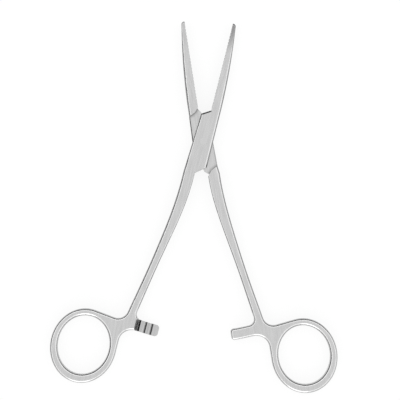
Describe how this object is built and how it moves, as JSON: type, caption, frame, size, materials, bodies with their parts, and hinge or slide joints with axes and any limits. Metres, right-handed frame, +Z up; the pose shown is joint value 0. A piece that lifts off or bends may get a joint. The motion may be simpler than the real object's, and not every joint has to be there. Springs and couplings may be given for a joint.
{
  "type": "hemostat forceps",
  "caption": "Box-lock haemostatic forceps with slim straight serrated jaws, long shanks, finger rings and a ratchet lock, lying flat and part open.",
  "frame": {"origin": "on the pivot's axis, at the underside of the box lock", "axes": "+Y along the instrument towards the jaws, +X across it, +Z up from the surface that it lies on"},
  "size_m": [0.1196, 0.152, 0.0056],
  "materials": {
    "satin_steel": "satin",
    "pin_steel": "satin"
  },
  "bodies": {
    "box_half": {"box_arm": "satin_steel", "pivot_pin": "pin_steel"},
    "through_half": {"through_arm": "satin_steel"}
  },
  "joints": [
    {"name": "box_lock_pivot", "type": "hinge", "parent": "box_half", "child": "through_half", "pos_m": [0, 0, 0.0028], "axis": [0, 0, 1], "range_deg": [-23, 37]}
  ]
}
